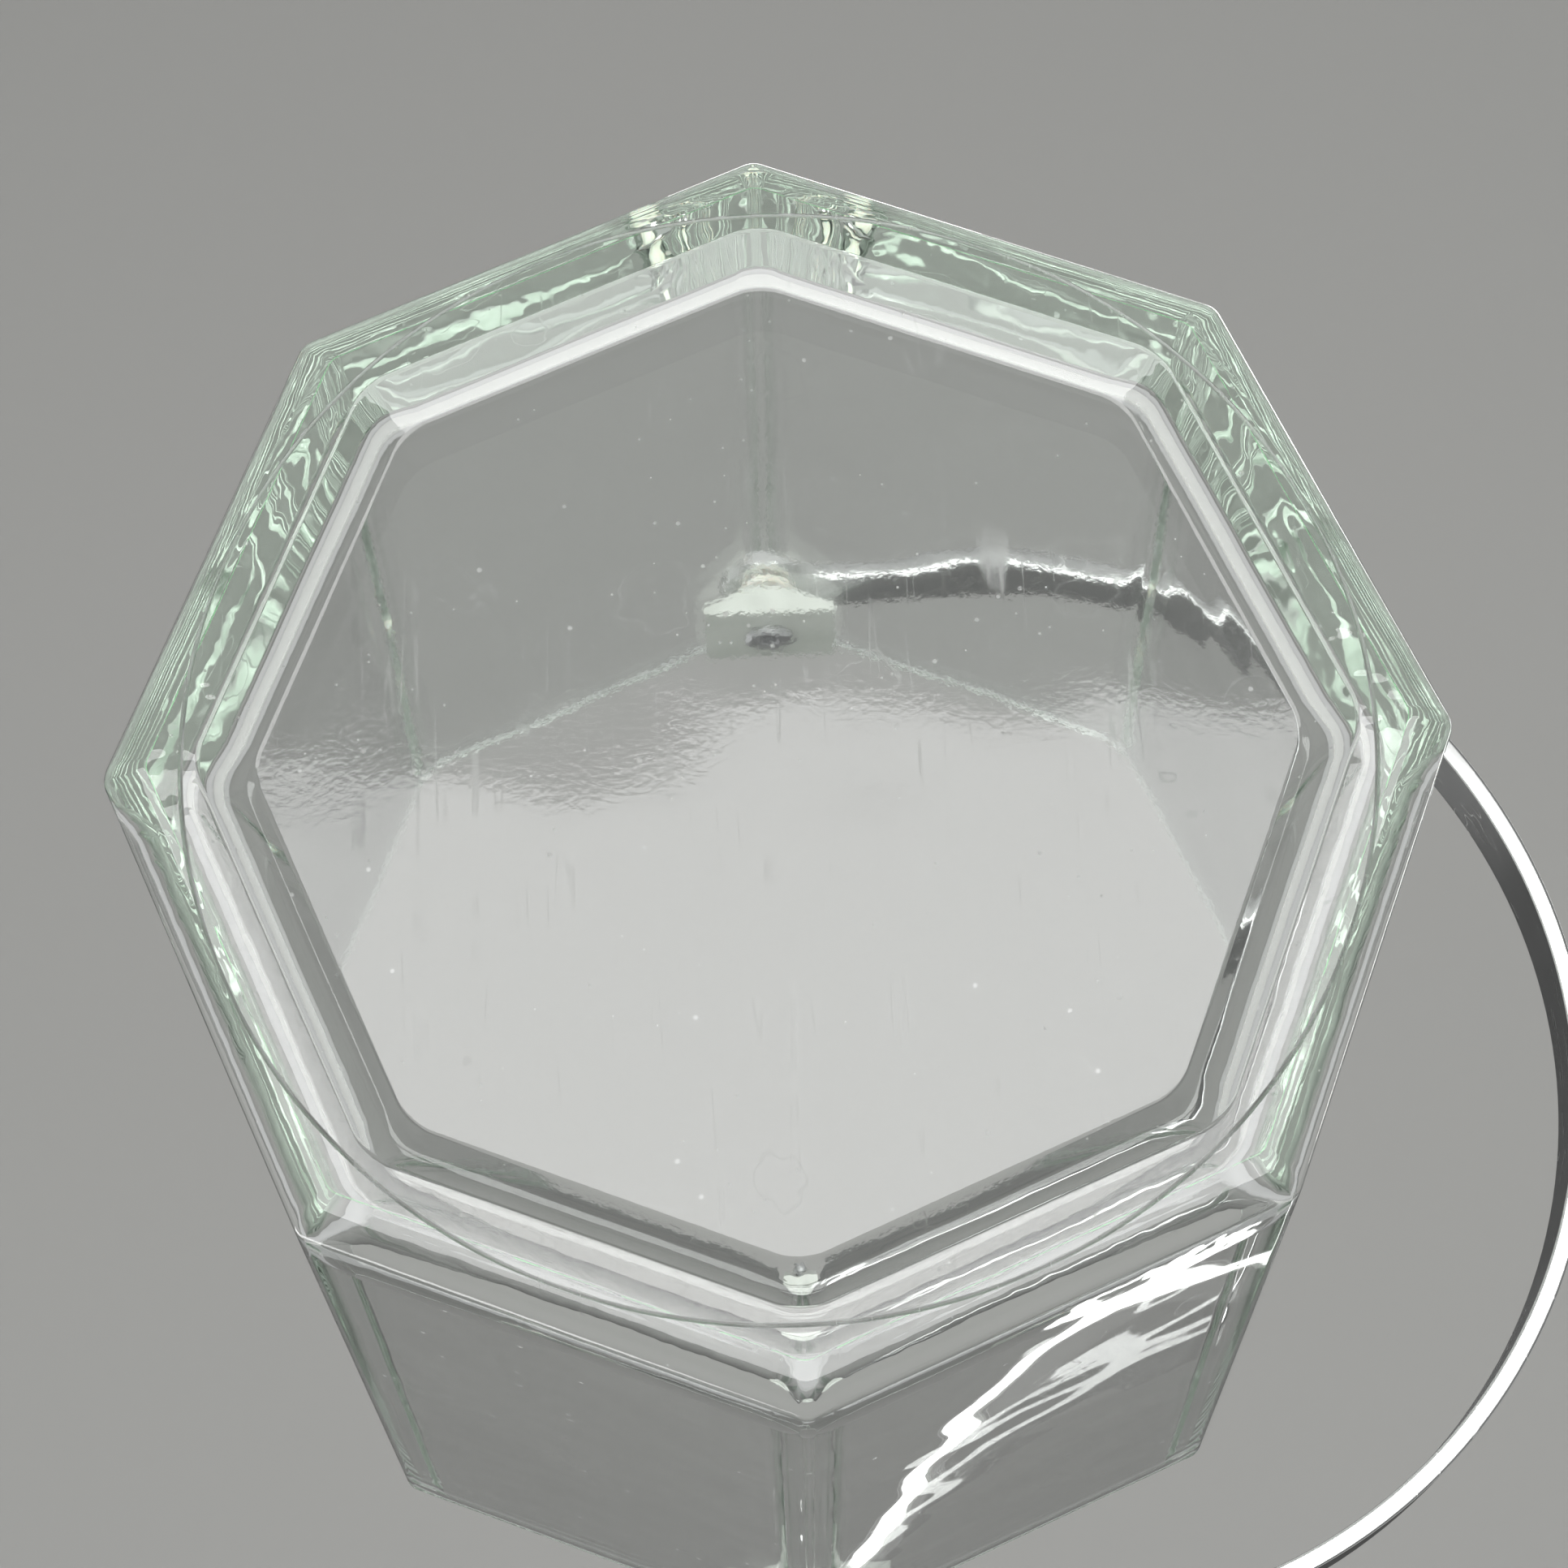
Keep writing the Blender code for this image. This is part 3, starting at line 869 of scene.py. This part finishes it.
def steel_material(colours):
    """Bright polished steel strap with fine lengthwise polishing lines and handling scratches."""
    graph = Graph(bpy.data.materials.new("polished_strap_steel"))
    lines = graph.noise(graph.place(scale=(1.0, 1.0, 40.0)), 90.0, detail=3.0)
    marks = scratches(graph, 300.0, ((20, 0.05), (95, 0.05)), 0.015)
    haze = graph.noise(graph.place(), 60.0, detail=3.0)
    normal = graph.bump(lines, 0.000004)
    normal = graph.bump(marks, 0.000006, normal)
    rough = 0.13 + haze * 0.09 + lines * 0.04 + marks * 0.15
    stain = graph.band(haze, 0.55, 0.75) * 0.25
    tone = graph.mix(stain, rgba(colours.steel), (0.56, 0.57, 0.55, 1.0))
    return graph.principled(
        {"Base Color": tone, "Metallic": 1.0, "Roughness": rough, "Normal": normal}
    )


def rivet_material(colours):
    """Satin steel with turning rings and small dents."""
    graph = Graph(bpy.data.materials.new("rivet_satin_steel"))
    grain = graph.noise(graph.place(scale=(1.0, 12.0, 1.0)), 700.0, detail=2.0)
    dents = specks(graph, 900.0, 0.30, 0.25)
    normal = graph.bump(grain, 0.000006)
    normal = graph.bump(dents, -0.00001, normal)
    tone = graph.mix(dents * 0.4, rgba(colours.rivet), (0.45, 0.44, 0.42, 1.0))
    return graph.principled(
        {"Base Color": tone, "Metallic": 1.0, "Roughness": 0.24 + grain * 0.12, "Normal": normal}
    )


def nylon_material(colours):
    """Uncoloured nylon with a faint moulded grain, slightly yellowed in places."""
    graph = Graph(bpy.data.materials.new("bush_nylon"))
    grain = graph.noise(graph.place(), 1800.0, detail=2.0)
    patch = graph.noise(graph.place(), 130.0, detail=2.0)
    tone = graph.mix(graph.band(patch, 0.4, 0.7), rgba(colours.nylon), (0.52, 0.50, 0.42, 1.0))
    return graph.principled(
        {
            "Base Color": tone,
            "Roughness": 0.42 + grain * 0.10,
            "Normal": graph.bump(grain, 0.00001),
            "Subsurface Weight": 0.25,
            "Subsurface Scale": 0.001,
        }
    )


def saddle_material(colours):
    """Pale moulded plastic with a fine grain and light scuffs."""
    graph = Graph(bpy.data.materials.new("saddle_plastic"))
    grain = graph.noise(graph.place(), 1500.0, detail=2.0)
    scuff = scratches(graph, 500.0, ((30, 0.05), (110, 0.05)), 0.02)
    patch = graph.noise(graph.place(), 110.0, detail=3.0)
    tone = graph.mix(graph.band(patch, 0.4, 0.7), rgba(colours.saddle), (0.28, 0.30, 0.27, 1.0))
    normal = graph.bump(grain, 0.000012)
    return graph.principled(
        {
            "Base Color": tone,
            "Roughness": 0.34 + grain * 0.12 + scuff * 0.15,
            "Normal": graph.bump(scuff, -0.00001, normal),
        }
    )


# The stage


def backdrop_material(name, tone):
    """A matt surface that shows from its front only."""
    graph = Graph(bpy.data.materials.new(name))
    back = graph.node("ShaderNodeNewGeometry", {}, {}, "Backfacing")
    matt = graph.node("ShaderNodeBsdfPrincipled", {}, {"Base Color": rgba(tone), "Roughness": 0.9})
    clear = graph.node("ShaderNodeBsdfTransparent", {}, {})
    shown = graph.node("ShaderNodeMixShader", {}, {0: back, 1: matt, 2: clear})
    graph.node("ShaderNodeOutputMaterial", {}, {"Surface": shown})
    return graph.owner


def add_plane(name, size, location, rotation, material):
    """A flat stage panel that light passes but the camera sees."""
    deselect_all()
    bpy.ops.mesh.primitive_plane_add(size=size, location=location, rotation=rotation)
    panel = bpy.context.object
    panel.name = name
    panel.data.materials.append(material)
    panel.visible_shadow = False
    return panel


def add_softbox(name, location, target, size, energy, transmission):
    """A rectangular area light that faces a target and isn't seen directly."""
    data = bpy.data.lights.new(name, "AREA")
    data.shape = "RECTANGLE"
    data.size, data.size_y = size
    data.energy = energy
    light = bpy.data.objects.new(name, data)
    bpy.context.collection.objects.link(light)
    light.location = location
    light.rotation_euler = (Vector(target) - Vector(location)).to_track_quat("-Z", "Y").to_euler()
    light.visible_camera = False
    light.visible_transmission = transmission
    return light


def make_world():
    """Soft surroundings: pale above the horizon, and with a dark belt below it."""
    world = bpy.data.worlds.new("soft_surroundings")
    bpy.context.scene.world = world
    graph = Graph(world)
    direction = graph.node("ShaderNodeTexCoord", {}, {}, "Generated")
    height = graph.node("ShaderNodeSeparateXYZ", {}, {"Vector": direction}, "Z")
    level = graph.node("ShaderNodeValToRGB", {"stops": SURROUNDINGS}, {"Fac": height * 0.5 + 0.5})
    glow = graph.node("ShaderNodeBackground", {}, {"Color": level, "Strength": 1.0})
    graph.node("ShaderNodeOutputWorld", {}, {"Surface": glow})


def make_camera():
    """The main view, from below and a little to the back."""
    data = bpy.data.cameras.new("main_camera")
    data.sensor_width = 36.0
    data.lens = CAMERA_LENS
    data.clip_start = 0.01
    data.clip_end = 100.0
    camera = bpy.data.objects.new("main_camera", data)
    bpy.context.collection.objects.link(camera)
    camera.location = CAMERA_PLACE
    camera.rotation_euler = [math.radians(angle) for angle in CAMERA_TURN]
    bpy.context.scene.camera = camera


def make_stage(colours):
    """Floor, overhead board, softboxes, surroundings and camera."""
    pale = backdrop_material("pale_floor", colours.floor)
    floor = add_plane("floor", 6.0, (0.0, 0.0, JAR_LOW.z), (0.0, 0.0, 0.0), pale)
    floor.visible_glossy = False
    overhead = backdrop_material("pale_board", colours.board)
    add_plane("board", 2.4, (0.0, -0.3, 1.0), (math.pi, 0.0, 0.0), overhead)
    dark = backdrop_material("dark_flag", colours.flag)
    flag = add_plane("flag", 0.7, (0.0, 0.0, 0.45), (math.pi, 0.0, 0.0), dark)
    flag.visible_camera = False
    flag.visible_transmission = False
    flag.visible_diffuse = False
    for softbox in SOFTBOXES:
        add_softbox(*softbox)
    make_world()
    make_camera()
    bpy.context.scene.view_settings.view_transform = "Standard"
    cycles = bpy.context.scene.cycles
    cycles.max_bounces = BOUNCES
    cycles.transmission_bounces = BOUNCES
    cycles.glossy_bounces = BOUNCES


# The add-on


PIVOT_SIDES = (("front", -1), ("back", 1))


class GLASSJAR_OT_glass_body(bpy.types.Operator):
    """Models the pressed-glass body"""

    bl_idname = "glassjar.glass_body"
    bl_label = "Glass Body"

    def execute(self, context):
        scene = context.scene
        material = glass_material(scene.jar_colours, scene.jar_sizes)
        make_glass_body(scene.jar_sizes, scene.pivot_sizes, material)
        return {"FINISHED"}


class GLASSJAR_OT_bail(bpy.types.Operator):
    """Models the bail handle"""

    bl_idname = "glassjar.bail"
    bl_label = "Bail Handle"

    def execute(self, context):
        scene = context.scene
        make_bail_strap(scene.bail_sizes, scene.pivot_sizes, steel_material(scene.jar_colours))
        return {"FINISHED"}


class GLASSJAR_OT_rivets(bpy.types.Operator):
    """Models the two rivets"""

    bl_idname = "glassjar.rivets"
    bl_label = "Rivets"

    def execute(self, context):
        scene = context.scene
        material = rivet_material(scene.jar_colours)
        for place, side in PIVOT_SIDES:
            node = "pivot_pin_" + place
            make_rivet("rivet_" + place, side, node, scene.pivot_sizes, scene.bail_sizes, material)
        return {"FINISHED"}


class GLASSJAR_OT_bushes(bpy.types.Operator):
    """Models the two bushes"""

    bl_idname = "glassjar.bushes"
    bl_label = "Bushes"

    def execute(self, context):
        scene = context.scene
        material = nylon_material(scene.jar_colours)
        for place, side in PIVOT_SIDES:
            make_bush("bush_" + place, side, "pin_bush_" + place, scene.pivot_sizes, material)
        return {"FINISHED"}


class GLASSJAR_OT_saddles(bpy.types.Operator):
    """Models the two corner saddles"""

    bl_idname = "glassjar.saddles"
    bl_label = "Corner Saddles"

    def execute(self, context):
        scene = context.scene
        material = saddle_material(scene.jar_colours)
        for place, side in PIVOT_SIDES:
            node = "corner_saddle_" + place
            make_saddle("saddle_" + place, side, node, scene.jar_sizes, scene.pivot_sizes, material)
        return {"FINISHED"}


class GLASSJAR_OT_stage(bpy.types.Operator):
    """Sets up the floor, backdrop, lights and camera"""

    bl_idname = "glassjar.stage"
    bl_label = "Stage"

    def execute(self, context):
        make_stage(context.scene.jar_colours)
        return {"FINISHED"}


OPERATORS = (
    GLASSJAR_OT_stage,
    GLASSJAR_OT_glass_body,
    GLASSJAR_OT_bail,
    GLASSJAR_OT_rivets,
    GLASSJAR_OT_bushes,
    GLASSJAR_OT_saddles,
)
SETTINGS = {
    "jar_sizes": JarSizes,
    "bail_sizes": BailSizes,
    "pivot_sizes": PivotSizes,
    "jar_colours": JarColours,
}


class GLASSJAR_PT_panel(bpy.types.Panel):
    """Lists the pieces with their sizes and colours"""

    bl_idname = "GLASSJAR_PT_panel"
    bl_label = "Glass Jar"
    bl_space_type = "VIEW_3D"
    bl_region_type = "UI"
    bl_category = "Glass Jar"

    def draw(self, context):
        for operator in OPERATORS:
            self.layout.operator(operator.bl_idname)
        for setting in SETTINGS:
            group = getattr(context.scene, setting)
            box = self.layout.box()
            for name in group.__annotations__:
                box.prop(group, name)


def register():
    """Registers the add-on's classes and its settings on the scene."""
    for group in SETTINGS.values():
        bpy.utils.register_class(group)
    for operator in OPERATORS:
        bpy.utils.register_class(operator)
    bpy.utils.register_class(GLASSJAR_PT_panel)
    for setting, group in SETTINGS.items():
        setattr(bpy.types.Scene, setting, bpy.props.PointerProperty(type=group))


def unregister():
    """Takes the add-on's classes and settings away again."""
    for setting in SETTINGS:
        delattr(bpy.types.Scene, setting)
    bpy.utils.unregister_class(GLASSJAR_PT_panel)
    for operator in reversed(OPERATORS):
        bpy.utils.unregister_class(operator)
    for group in SETTINGS.values():
        bpy.utils.unregister_class(group)


def main():
    """Makes the stage and every piece."""
    register()
    bpy.ops.glassjar.stage()
    bpy.ops.glassjar.glass_body()
    bpy.ops.glassjar.bail()
    bpy.ops.glassjar.rivets()
    bpy.ops.glassjar.bushes()
    bpy.ops.glassjar.saddles()
    deselect_all()


if __name__ == "__main__":
    main()
